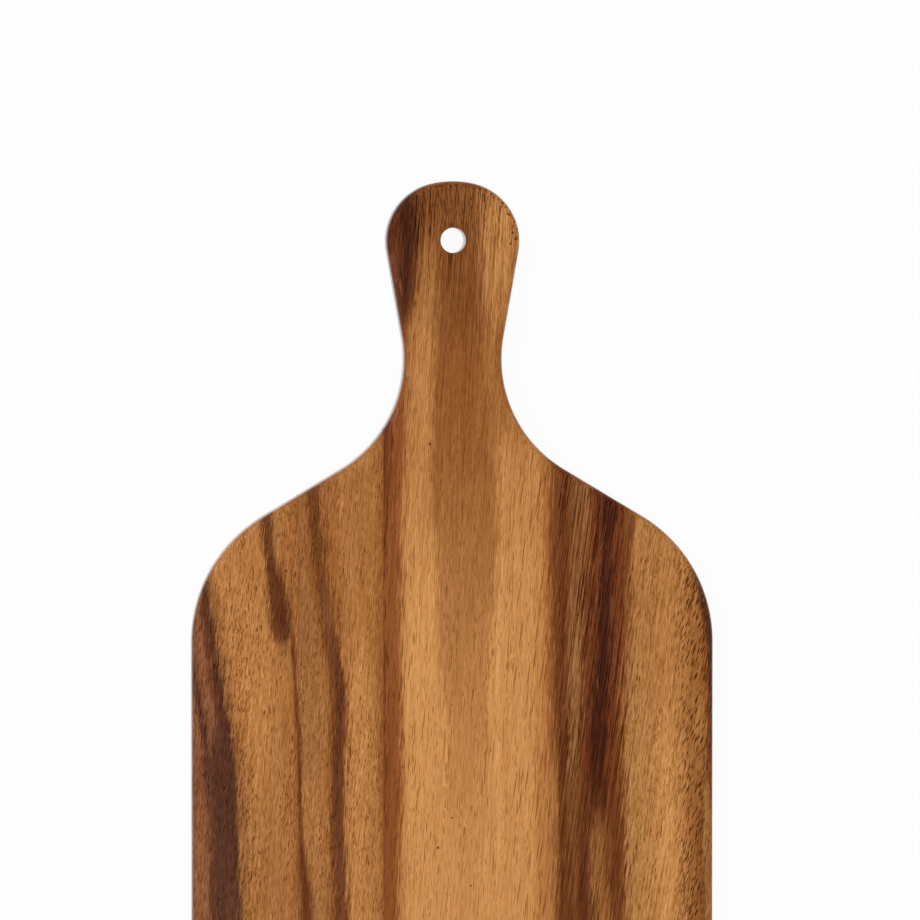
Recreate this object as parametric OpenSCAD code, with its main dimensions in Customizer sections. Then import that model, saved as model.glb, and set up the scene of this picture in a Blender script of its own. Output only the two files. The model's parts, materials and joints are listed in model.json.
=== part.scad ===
// Paddle charcuterie board of edge-glued acacia staves, lying flat on its underside.
// The origin is the middle of the underside, +Y points to the handle and +Z is up.

/* [Board] */
// Overall length, from the tip of the handle to the foot end
board_l = 508; // [400:1:650]
// Width across the blade
blade_w = 203.2; // [170:0.1:260]
// Thickness of the board
board_t = 15; // [12:0.5:25]
// Radius of the two corners at the foot end
foot_r = 38; // [10:1:80]
// Radius of the rounded-over edges, top and bottom
edge_r = 3; // [1:0.1:5]

/* [Handle] */
// Width of the handle at its widest, near the tip
head_w = 51.9; // [46:0.1:60]
// Radius of the flat arc across the tip
tip_r = 36; // [28:0.5:80]
// Radius of the two round corners of the tip
head_r = 23; // [14:0.5:25.5]
// Width of the neck at its narrowest
neck_w = 38.1; // [28:0.1:46]
// Distance from the tip to the narrowest part of the neck
neck_down = 69; // [58:0.5:100]
// Radius of the hollow curve on each side of the neck
neck_r = 50; // [30:1:90]

/* [Shoulders] */
// Angle between each shoulder and the long axis
shoulder_angle = 59; // [45:1:70]
// Radius where each shoulder turns into the side
shoulder_r = 57; // [20:1:90]

/* [Hanging hole] */
// Diameter of the hole through the handle
hole_d = 9.8; // [6:0.1:20]
// Distance from the tip to the middle of the hole
hole_down = 23; // [16:0.5:40]
// Depth of the eased rim at each mouth of the hole
hole_ease = 0.6; // [0.2:0.1:2]

/* [Staves and glue] */
// How far the handle stave reaches past the handle on the left
handle_margin_left = 1.1; // [0.5:0.1:12]
// How far the handle stave reaches past the handle on the right
handle_margin_right = 14.9; // [0.5:0.1:25]
// Width of the inner stave on the left
left_inner_w = 32.9; // [12:0.1:45]
// Width of the inner stave on the right
right_inner_w = 25.6; // [12:0.1:32]
// Thickness of the glue between two staves
glue_t = 0.2; // [0.1:0.05:0.5]

/* [Hidden] */

// How far each cut runs past the wood
overrun = 2;

// Segments along each arc of the outline, and round each eased edge
tip_steps = 3;
head_steps = 15;
neck_steps = 10;
shoulder_steps = 12;
foot_steps = 12;
edge_steps = 4;
hole_fn = 64;

// Ends of the board along the long axis
tip_y = board_l / 2;
foot_y = -board_l / 2;

// Centres of the outline's arcs on the right half of the board
tip_c = [0, tip_y - tip_r];
head_x = head_w / 2 - head_r;
head_c = [head_x, tip_c.y + sqrt((tip_r - head_r) ^ 2 - head_x ^ 2)];
neck_c = [neck_w / 2 + neck_r, tip_y - neck_down];
shoulder_x = blade_w / 2 - shoulder_r;
shoulder_n = [cos(shoulder_angle), sin(shoulder_angle)];
shoulder_c = [
    shoulder_x,
    (neck_c * shoulder_n - neck_r - shoulder_r - shoulder_x * shoulder_n.x) / shoulder_n.y,
];
foot_c = [blade_w / 2 - foot_r, foot_y + foot_r];

// Where the tip arc hands over to the corner arc of the handle
tip_turn = atan2(head_c.y - tip_c.y, head_c.x);

// Angle of the straight taper between the corner arc and the neck arc
head_to_neck = neck_c - head_c;
taper = atan2(-head_to_neck.y, head_to_neck.x) - acos((head_r + neck_r) / norm(head_to_neck));

// Middle of the hanging hole along the long axis
hole_y = tip_y - hole_down;

// Faces of the glue joints, from left to right
handle_left = -head_w / 2 - handle_margin_left;
left_inner_right = handle_left - glue_t;
left_inner_left = left_inner_right - left_inner_w;
left_edge_right = left_inner_left - glue_t;
handle_right = head_w / 2 + handle_margin_right;
right_inner_left = handle_right + glue_t;
right_inner_right = right_inner_left + right_inner_w;
right_edge_left = right_inner_right + glue_t;

// Points along an arc, both ends included
function arc(centre, r, from, to, steps) = [
    for (i = [0 : steps])
        let (a = from + (to - from) * i / steps)
        centre + r * [cos(a), sin(a)]
];

// All but the first point of a list
function after_first(points) = [for (i = [1 : len(points) - 1]) points[i]];

// Right half of the outline from the tip to the foot, drawn in by an inset
function half_outline(inset) = concat(
    arc(tip_c, tip_r - inset, 90, tip_turn, tip_steps),
    after_first(arc(head_c, head_r - inset, tip_turn, -taper, head_steps)),
    arc(neck_c, neck_r + inset, 180 - taper, 180 + shoulder_angle, neck_steps),
    arc(shoulder_c, shoulder_r - inset, shoulder_angle, 0, shoulder_steps),
    arc(foot_c, foot_r - inset, 0, -90, foot_steps)
);

// Whole outline at one height: the right half, then the left half back up to the tip
function ring(inset, z) =
    let (half = half_outline(inset))
    concat(
        [for (p = half) [p.x, p.y, z]],
        [for (i = [len(half) - 1 : -1 : 1]) [-half[i].x, half[i].y, z]]
    );

// The cut and sanded shape of the whole board, with both edges rounded over
module board_blank() {
    half_count = len(half_outline(0));
    ring_count = 2 * half_count - 1;
    turns = [for (j = [0 : edge_steps]) 90 * j / edge_steps];
    top_rings = [
        for (a = turns)
            ring(edge_r * (1 - sin(a)), board_t - edge_r * (1 - cos(a)))
    ];
    bottom_rings = [
        for (j = [edge_steps : -1 : 0])
            ring(edge_r * (1 - sin(turns[j])), edge_r * (1 - cos(turns[j])))
    ];
    rings = concat(top_rings, bottom_rings);
    last = (len(rings) - 1) * ring_count;

    // One cap: a triangle at the tip, then strips across the board
    cap = concat(
        [[0, 1, ring_count - 1]],
        [for (i = [1 : half_count - 2]) [i, i + 1, ring_count - i - 1, ring_count - i]]
    );
    walls = [
        for (k = [0 : len(rings) - 2])
            for (i = [0 : ring_count - 1])
                let (upper = k * ring_count, lower = upper + ring_count, next = (i + 1) % ring_count)
                [upper + i, lower + i, lower + next, upper + next]
    ];
    bottom_cap = [for (face = cap) [for (i = [len(face) - 1 : -1 : 0]) last + face[i]]];
    polyhedron(
        points = [for (r = rings) for (p = r) p],
        faces = concat(cap, walls, bottom_cap)
    );
}

// The part of the board between two planes across its width
module board_slice(x_from, x_to) {
    intersection() {
        board_blank();
        translate([x_from, foot_y - overrun, -overrun])
            cube([x_to - x_from, board_l + 2 * overrun, board_t + 2 * overrun]);
    }
}

// The drilled hole with an eased rim at both mouths
module hanging_hole() {
    rim_h = hole_ease + overrun;
    translate([0, hole_y, 0]) {
        translate([0, 0, -overrun])
            cylinder(d = hole_d, h = board_t + 2 * overrun, $fn = hole_fn);
        translate([0, 0, board_t - hole_ease])
            cylinder(r1 = hole_d / 2, r2 = hole_d / 2 + rim_h, h = rim_h, $fn = hole_fn);
        translate([0, 0, -overrun])
            cylinder(r1 = hole_d / 2 + rim_h, r2 = hole_d / 2, h = rim_h, $fn = hole_fn);
    }
}

module left_edge_stave() {
    color("#a5713c")
        board_slice(-blade_w / 2 - overrun, left_edge_right);
}

module left_outer_glue_line() {
    color("#5c3a22")
        board_slice(left_edge_right, left_inner_left);
}

module left_inner_stave() {
    color("#b07a42")
        board_slice(left_inner_left, left_inner_right);
}

module left_inner_glue_line() {
    color("#5c3a22")
        board_slice(left_inner_right, handle_left);
}

// The widest stave, which carries the whole handle and its hanging hole
module handle_stave() {
    color("#b87c45")
        difference() {
            board_slice(handle_left, handle_right);
            hanging_hole();
        }
}

module right_inner_glue_line() {
    color("#5c3a22")
        board_slice(handle_right, right_inner_left);
}

module right_inner_stave() {
    color("#7a4527")
        board_slice(right_inner_left, right_inner_right);
}

module right_outer_glue_line() {
    color("#5c3a22")
        board_slice(right_inner_right, right_edge_left);
}

module right_edge_stave() {
    color("#a9773f")
        board_slice(right_edge_left, blade_w / 2 + overrun);
}

left_edge_stave();
left_outer_glue_line();
left_inner_stave();
left_inner_glue_line();
handle_stave();
right_inner_glue_line();
right_inner_stave();
right_outer_glue_line();
right_edge_stave();
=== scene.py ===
"""Paddle charcuterie board of edge-glued acacia planks, shaped and finished as an add-on would do it."""

import json
import math
from dataclasses import dataclass, field

import bpy
from mathutils import Matrix, Vector


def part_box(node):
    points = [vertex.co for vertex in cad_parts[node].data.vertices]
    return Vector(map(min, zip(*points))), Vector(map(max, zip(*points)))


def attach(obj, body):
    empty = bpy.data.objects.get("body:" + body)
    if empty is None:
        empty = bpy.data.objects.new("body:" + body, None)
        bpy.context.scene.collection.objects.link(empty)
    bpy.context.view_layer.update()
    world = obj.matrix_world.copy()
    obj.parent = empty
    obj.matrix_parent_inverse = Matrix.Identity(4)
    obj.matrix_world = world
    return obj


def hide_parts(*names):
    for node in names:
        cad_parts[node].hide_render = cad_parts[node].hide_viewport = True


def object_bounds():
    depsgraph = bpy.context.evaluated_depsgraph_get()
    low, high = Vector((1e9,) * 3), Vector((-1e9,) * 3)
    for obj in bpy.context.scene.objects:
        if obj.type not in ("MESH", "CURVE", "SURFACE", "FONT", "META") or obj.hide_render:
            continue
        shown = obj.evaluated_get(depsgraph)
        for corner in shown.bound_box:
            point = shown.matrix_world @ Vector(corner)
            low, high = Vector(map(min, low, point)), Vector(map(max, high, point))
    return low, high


bl_info = {
    "name": "Paddle Charcuterie Board",
    "version": (1, 0, 0),
    "blender": (4, 5, 0),
    "location": "View3D > Sidebar > Paddle Board",
    "description": "Models a glued-up acacia serving paddle, its grain and its studio stage",
    "category": "Add Mesh",
}

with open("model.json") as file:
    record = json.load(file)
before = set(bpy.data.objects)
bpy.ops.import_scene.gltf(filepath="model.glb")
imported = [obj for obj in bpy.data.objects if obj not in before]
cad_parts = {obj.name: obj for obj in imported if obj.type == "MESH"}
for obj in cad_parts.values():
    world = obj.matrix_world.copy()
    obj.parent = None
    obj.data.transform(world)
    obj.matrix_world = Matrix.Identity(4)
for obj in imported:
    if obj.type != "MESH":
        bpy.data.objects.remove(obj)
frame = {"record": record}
CAD_LOW, CAD_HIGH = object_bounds()

# The hanging hole as the record states it
HOLE = next(mount for mount in frame["record"]["mounts"] if mount["name"] == "hanging_hole")

MM = 0.001
PER_METRE = 1000
BODY = "root"

# Distances closer than this count as the same place when points are merged and edges are picked
NEAR = 0.02 * MM

# Angle between two faces past which the edge between them stays crisp
CRISP_ANGLE = math.radians(35)

# Ends and top of the board in the grain's own millimetres, the ends rounded so that lists can state them
FOOT_MM = round(CAD_LOW[1] * PER_METRE, 3)
TIP_MM = round(CAD_HIGH[1] * PER_METRE, 3)
TOP_MM = CAD_HIGH[2] * PER_METRE

# Noise hardly ever leaves the wider of these two ranges, and mostly stays in the narrower
NOISE_WIDE = (0.25, 0.75)
NOISE = (0.3, 0.7)

# How far the figure's edges wander and feather to each side, in millimetres
WANDER = 1.3
FEATHER = 0.9

# Noise between which those edges fray, and how far that moves them, in millimetres
FRAY_NOISE = (0.5, 0.8)
FRAY = (0.4, -2.5)

# Noise at which a vessel line, and a dash along it, starts and is full
VESSEL_LINE = (0.56, 0.66)
VESSEL_DASH = (0.42, 0.6)

# Noise between which pores fade, and the share of their depth that is left where they are faintest
GATHER_NOISE = (0.4, 0.6)
FAINTEST = 0.3

# Step between the seeds of a plank's pore layers
PORE_SEED_STEP = 7

# How dark a pin knot is
PIN_DEPTH = 0.8

# Change of roughness along pale fibres, and in open pores
FIBRE_SMOOTHING = -0.04
PORE_DULLING = 0.25

# Height of the raised fibres, as a share of the pores' depth
FIBRE_HEIGHT = 0.15

# Noise between which dust pales the glue, and the glue's roughness where it is dark and where it is pale
GLUE_DUST = (0.35, 0.65)
GLUE_ROUGHNESS = (0.4, 0.6)

# Distance between nodes in the editor, and nodes in one column
NODE_STEP = (190, -220)
NODE_ROWS = 6


def linear(red, green, blue):
    """Colour written as the eye reads it, 0 to 255, turned into the light that Blender mixes."""
    shares = [channel / 255 for channel in (red, green, blue)]
    return [share / 12.92 if share <= 0.04045 else ((share + 0.055) / 1.055) ** 2.4 for share in shares]


def length_property(label, words, default):
    """One length that a user can change."""
    return bpy.props.FloatProperty(name=label, description=words, default=default, unit="LENGTH")


def factor_property(label, words, default, low=0, high=1):
    """One factor that a user can change, a share from 0 to 1 unless other limits are given."""
    return bpy.props.FloatProperty(
        name=label, description=words, default=default, subtype="FACTOR", min=low, max=high)


def count_property(label, words, default):
    """One number of facets that a user can change."""
    return bpy.props.IntProperty(name=label, description=words, default=default, min=1)


def tone_property(label, words, *tone):
    """One wood tone that a user can change, written as the eye reads it."""
    return bpy.props.FloatVectorProperty(
        name=label, description=words, default=linear(*tone), subtype="COLOR", size=3, min=0, max=1)


class PaddleShape(bpy.types.PropertyGroup):
    """Sizes of the paddle's outline, edges and hole."""

    length: length_property("Length", "From the tip of the handle to the foot end", CAD_HIGH[1] - CAD_LOW[1])
    width: length_property("Blade width", "Width across the blade", CAD_HIGH[0] - CAD_LOW[0])
    thickness: length_property("Thickness", "Thickness of the planks", CAD_HIGH[2] - CAD_LOW[2])
    foot_radius: length_property("Foot corners", "Radius of the two corners at the foot end", 38 * MM)
    edge_radius: length_property("Eased edge", "Radius of the rounded-over edges, top and bottom", 3 * MM)
    head_width: length_property("Head width", "Width of the handle at its widest, near the tip", 51.9 * MM)
    tip_radius: length_property("Tip arc", "Radius of the flat arc across the tip", 36 * MM)
    head_radius: length_property("Head corners", "Radius of the two round corners of the tip", 23 * MM)
    neck_width: length_property("Neck width", "Width of the neck at its narrowest", 38.1 * MM)
    neck_down: length_property("Neck position", "From the tip to the narrowest part of the neck", 69 * MM)
    neck_radius: length_property("Neck hollow", "Radius of the hollow on each side of the neck", 50 * MM)
    shoulder_angle: bpy.props.FloatProperty(
        name="Shoulder angle", description="Angle between each shoulder and the long axis",
        default=math.radians(59), subtype="ANGLE")
    shoulder_radius: length_property(
        "Shoulder turn", "Radius where each shoulder turns into the side", 57 * MM)
    hole_radius: length_property("Hole radius", "Radius of the hanging hole", HOLE["dims"]["r_mm"] * MM)
    hole_ease: length_property("Hole rim", "Depth of the eased rim at each mouth of the hole", 0.6 * MM)
    arc_step: length_property(
        "Arc step", "Length of one straight facet along the arcs of the outline", 1.5 * MM)
    edge_segments: count_property("Edge segments", "Facets across each rounded-over edge", 8)
    rim_segments: count_property("Rim segments", "Facets across each eased rim of the hole", 3)
    hole_facets: count_property("Hole facets", "Facets round the hanging hole", 96)


class WoodTones(bpy.types.PropertyGroup):
    """The tones of oiled acacia, from sapwood to the darkest heartwood lines."""

    pale_amber: tone_property("Pale amber", "The palest wood of the blade", 219, 156, 93)
    amber: tone_property("Amber", "Clear wood of the handle plank", 207, 144, 83)
    gold: tone_property("Gold", "Clear wood of the left planks", 193, 130, 72)
    olive_tan: tone_property("Olive tan", "Clear wood of the right edge plank", 181, 125, 69)
    tan: tone_property("Tan", "Wood just beside a dark stripe", 172, 112, 58)
    dun: tone_property("Dun", "Dull wood low on the left planks", 160, 105, 57)
    brown: tone_property("Brown", "Middle heartwood", 149, 90, 41)
    russet: tone_property("Russet", "Reddish heartwood between clear and dark", 146, 84, 40)
    umber: tone_property("Umber", "Soft edge of a dark stripe", 118, 66, 28)
    moss: tone_property("Moss", "Olive line in the dark heartwood", 137, 87, 45)
    maroon: tone_property("Maroon", "Body of the narrow dark stripe", 114, 63, 35)
    plum: tone_property("Plum", "Body of the broad dark stripe on the left", 88, 49, 32)
    rosewood: tone_property("Rosewood", "Pinkish wood beside the broad dark stripe", 141, 89, 57)
    red_brown: tone_property("Red brown", "Reddish edge of a dark stripe", 104, 50, 18)
    dark: tone_property("Dark heartwood", "Body of the dark stripes on the right", 81, 35, 12)
    near_black: tone_property("Near black", "Core of a dark stripe", 55, 19, 5)


class GrainSettings(bpy.types.PropertyGroup):
    """Strength of the grain and the finish that every plank shares."""

    end_darkness: factor_property("End grain", "How much more oil the end grain has drunk", 0.3)
    lift: factor_property(
        "Lift", "Brightness between the fibres, which makes up for the pores", 1.025, 1, 1.2)
    green_fall: factor_property(
        "Green fall", "How much steeper green falls than red where the grain darkens", 1.37, 1, 3)
    blue_fall: factor_property(
        "Blue fall", "How much steeper blue falls than red where the grain darkens", 2.1, 1, 3)
    bump_depth: length_property("Bump depth", "Depth of the pores and raised fibres", 0.1 * MM)
    roughness: factor_property("Roughness", "Roughness of the oiled faces", 0.42)
    side_roughness: factor_property("Side roughness", "Roughness of the sides, burnished by hands", 0.22)
    side_polish: factor_property("Side polish", "Weight of the smooth coat of oil rubbed into the sides", 1)
    polish_roughness: factor_property("Polish roughness", "Roughness of that coat", 0.3)
    specular: factor_property("Oil sheen", "Specular level of the oiled surface", 0.08)


class StageSettings(bpy.types.PropertyGroup):
    """Floor, lamps and camera."""

    floor_size: length_property("Floor size", "Side of the pale floor", 16)
    floor_gap: length_property("Floor gap", "Air under the board that keeps two faces from meeting", 0.2 * MM)
    floor_tone: bpy.props.FloatVectorProperty(
        name="Floor tone", description="Colour of the floor", default=(0.88, 0.88, 0.88),
        subtype="COLOR", size=3, min=0, max=1)
    floor_glow: factor_property("Floor glow", "Share of plain white that the camera sees in the floor", 0.95)
    room_light: factor_property("Room light", "Share of the light on top that comes from all round", 0.5)
    back_left_light: factor_property(
        "Back left lamp", "Share of the light on top from behind the handle, on the left", 0.26)
    back_right_light: factor_property(
        "Back right lamp", "Share of the light on top from behind the handle, on the right", 0.07)
    front_left_light: factor_property(
        "Front left lamp", "Share of the light on top from beyond the foot, on the left", 0.14)
    front_right_light: factor_property(
        "Front right lamp", "Share of the light on top from beyond the foot, on the right", 0.05)
    lamp_reach: length_property("Lamp reach", "How far out each lamp stands to the side and to the end", 1.5)
    lamp_height: length_property("Lamp height", "How high each lamp hangs", 2.1)
    lamp_size: length_property("Lamp size", "Side of each soft square lamp", 2.2)
    lens: bpy.props.FloatProperty(
        name="Lens", description="Focal length of the camera, in millimetres", default=250, unit="CAMERA")
    view_reach: length_property("View reach", "Distance past which the camera sees nothing", 100)
    view_width: length_property("View width", "Width of the picture at the top of the board", 357.1 * MM)
    view_centre: bpy.props.FloatVectorProperty(
        name="View centre", description="Point on top of the board in the middle of the picture",
        default=(2.6 * MM, 145.8 * MM, CAD_HIGH[2]), subtype="TRANSLATION", size=3)
    view_from: bpy.props.FloatVectorProperty(
        name="View from", description="Direction from the board to the camera",
        default=(-0.07, 0.035, 1), subtype="DIRECTION", size=3)


@dataclass
class PoreLayer:
    """Open pores of one size, as dashes along the grain."""

    # Distance between pores across and along the grain
    spacing: float
    length: float
    # Share of those distances that a pore fills to each side
    size: float
    # How dark the pores are
    depth: float
    # How far they lean to the right for each millimetre along the board
    lean: float
    # The scale of the fibres that the pores gather along, if any
    gather: str | None = "Clusters"
    # X, Y or Across the figure, the middle of the zone there, and how far from it pores are full and gone
    zone: tuple | None = None


@dataclass
class Streak:
    """One streak of figure that starts and ends inside a plank.

    Its middle, width and strength are plain numbers, or lists of heights on the board and values there.
    """

    tone: str
    # Place of its middle across the board
    middle: float | list
    width: float | list
    # How much of the tone shows
    strength: float | list
    # Share of the half width over which the streak fades out
    softness: float = 0.6
    # Share of the figure's wander that the streak follows
    wander: float = 1


@dataclass
class Timber:
    """What one plank's figure looks like, in millimetres of the board's own frame."""

    slot: str
    # Tones across the plank from left to right, at the height where the drift is nothing
    tones: list
    # How far the figure moves sideways along the board: height on the board, then shift
    drift: list
    pores: list
    # How much the fibres lighten and darken the wood: a share, or heights on the board and shares there
    contrast: float | list
    # Part of that which long lines, short specks and broad streaks each have
    threads: tuple
    # How far the figure moves sideways for each millimetre of depth
    ring_tilt: float
    # How far the fibres lean to the right for each millimetre along the board
    fibre_lean: float
    # How much the growth bands, and the curl across the grain, lighten and darken the wood
    bands: float
    mottle: float
    # How dark the fine dashes are along the vessel lines
    dashes: float
    # Distance through the noise that keeps one plank from repeating another
    seed: int
    streaks: list
    # Small pin knots: place across the board, height on it, then radius
    marks: list = field(default_factory=list)
    # Where across the board the drift is full, where it has died away, and what is left of it there
    fan: tuple | None = None


# The thin line that runs beside the left outer joint and crosses it
JOINT_LINE = Streak(
    "red_brown",
    [(-254, -56), (-34, -57), (-10, -58.8), (0, -59.4), (20, -60), (40, -60.4), (60, -61.4), (75, -62.4),
     (254, -66)],
    [(-34, 5), (-10, 3.4), (5, 1.8), (20, 1.3), (38, 1.9), (58, 1.2), (75, 1.6), (254, 1)],
    [(-254, 0.6), (-34, 0.95), (-8, 1), (6, 0.75), (20, 1), (36, 0.7), (48, 0.95), (60, 0.75), (70, 0.95),
     (84, 0)],
    softness=0.8, wander=0.3,
)

LEFT_EDGE_TIMBER = Timber(
    slot="left_edge_wood",
    tones=[
        (-120, "plum"), (-108, "maroon"), (-101, "rosewood"), (-91.2, "rosewood"), (-89.4, "maroon"),
        (-88, "plum"), (-86.4, "plum"), (-85, "moss"), (-82, "tan"), (-78, "gold"), (-71, "gold"),
        (-67, "tan"), (-63.4, "tan"), (-61.6, "brown"), (-60.2, "tan"),
    ],
    drift=[(-120, 7), (-34, 4.5), (-20, 3.5), (0, 2.5), (20, 1.6), (40, -0.7), (50, -2.6), (60, -4.3),
           (80, -7), (95, -9.6), (130, -18), (254, -40)],
    fan=(-85, -68, 0),
    streaks=[
        Streak("dun", -72, 26, [(-34, 0.6), (0, 0.45), (30, 0.15), (60, 0)]),
        Streak("tan", -81, 20, [(60, 0), (76, 0.3)]),
        Streak("dun", -100, 7, [(-20, 0.35), (10, 0.1), (30, 0)]),
        Streak("maroon", -99, 6, [(8, 0), (22, 0.4), (34, 0.25), (46, 0)]),
        Streak("plum",
               [(-254, -87), (-34, -88.4), (0, -88.8), (20, -90.2), (34, -91), (50, -91), (254, -92)],
               [(-34, 11), (0, 10), (20, 9.4), (34, 7), (50, 4), (254, 3)],
               [(-254, 0.7), (-34, 0.9), (20, 1), (34, 0.92), (48, 0.4), (58, 0)], softness=0.4),
        Streak("plum",
               [(-254, -93), (-20, -93.6), (0, -94.4), (20, -95.4), (37, -96.8), (52, -99.3), (66, -101.4),
                (76, -103), (254, -107)], [(0, 2), (30, 2.2), (50, 2.6), (60, 2.8), (254, 4)],
               [(-254, 0.3), (0, 0.5), (20, 0.85), (46, 0.95), (58, 0.9), (68, 0.6), (76, 0.2)], wander=0.6),
        Streak("umber", [(76, -64), (84, -65), (96, -66.4), (108, -68), (254, -76)],
               [(84, 6), (96, 5.6), (254, 5)], [(68, 0), (78, 0.5), (96, 0.7), (106, 0.5), (118, 0)],
               softness=0.8),
        Streak("dark",
               [(-254, -66), (66, -66.4), (77, -66.9), (83, -67.3), (90, -67.8), (97, -68.7), (106, -70.6),
                (122, -72), (254, -76)],
               [(66, 3), (77, 6), (83, 7.6), (90, 8), (97, 6.8), (106, 4.6), (122, 4.4), (254, 6)],
               [(68, 0), (75, 0.6), (83, 0.86), (100, 0.82), (122, 0.82), (254, 0.8)], softness=0.55,
               wander=0.7),
        JOINT_LINE,
    ],
    marks=[(-65.1, 103, 0.55)],
    pores=[
        PoreLayer(spacing=0.7, length=4.4, size=0.3, depth=0.64, lean=0.16),
        PoreLayer(spacing=0.6, length=3.4, size=0.28, depth=0.52, lean=0.12),
        PoreLayer(spacing=0.6, length=4, size=0.33, depth=0.56, lean=0.36, gather=None,
                  zone=("Across", -82, 4.5, 8.5)),
        PoreLayer(spacing=0.9, length=6, size=0.36, depth=0.4, lean=0.3, gather=None,
                  zone=("X", -101, 5, 9)),
    ],
    contrast=0.23, threads=(0.6, 1, 0.5), ring_tilt=0.4, fibre_lean=0.12, bands=0.09, mottle=0.06,
    dashes=0.3, seed=3,
)

LEFT_INNER_TIMBER = Timber(
    slot="left_inner_wood",
    tones=[
        (-72, "tan"), (-60.4, "dun"), (-50.5, "dun"), (-48.4, "brown"), (-46.8, "umber"), (-45.6, "maroon"),
        (-43.4, "maroon"), (-42.2, "umber"), (-40.8, "tan"), (-38.5, "gold"), (-34.5, "gold"), (-31, "tan"),
        (-29.4, "tan"), (-27.6, "brown"), (-20, "red_brown"),
    ],
    drift=[(-120, 2), (-34, 0.8), (0, 0), (40, 0), (50, 0.2), (60, -0.8), (70, -2.6), (80, -3.8), (90, -5),
           (100, -6.8), (110, -7.8), (120, -8.3), (140, -9.5), (254, -25)],
    fan=(-42, -32, 0.15),
    streaks=[
        Streak("tan", -38, 22, [(70, 0), (84, 0.4), (120, 0.6)]),
        Streak("gold", -54, 9, [(10, 0.4), (30, 0.2), (60, 0.2), (80, 0)]),
        Streak("brown", [(75, -42), (88, -44), (108, -46.9), (122, -47.4), (254, -54)], 7,
               [(62, 0), (80, 0.55)]),
        Streak("umber", [(-254, -48), (84, -47.8), (99, -50.6), (114, -51.8), (128, -54), (254, -62)],
               [(84, 4), (114, 5), (254, 6)], [(80, 0), (92, 0.6), (104, 0.9), (128, 0.85), (140, 0.5)],
               softness=0.7),
        Streak("near_black", [(-254, -44), (-34, -43.6), (20, -44.4), (45, -44.5), (70, -46.4), (254, -55)],
               [(0, 2), (40, 2.2), (60, 1.6), (254, 1)],
               [(-34, 0), (0, 0.1), (20, 0.2), (45, 0.36), (60, 0.36), (75, 0)]),
        JOINT_LINE,
    ],
    pores=[
        PoreLayer(spacing=0.7, length=4.4, size=0.3, depth=0.56, lean=0.1),
        PoreLayer(spacing=0.6, length=3.4, size=0.28, depth=0.48, lean=0.08),
        PoreLayer(spacing=0.6, length=3.4, size=0.28, depth=0.45, lean=0.12, gather=None,
                  zone=("X", -56, 5, 9)),
    ],
    contrast=0.21, threads=(0.7, 1, 0.5), ring_tilt=-0.35, fibre_lean=0.1, bands=0.07, mottle=0.05,
    dashes=0.35, seed=11,
)

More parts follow.
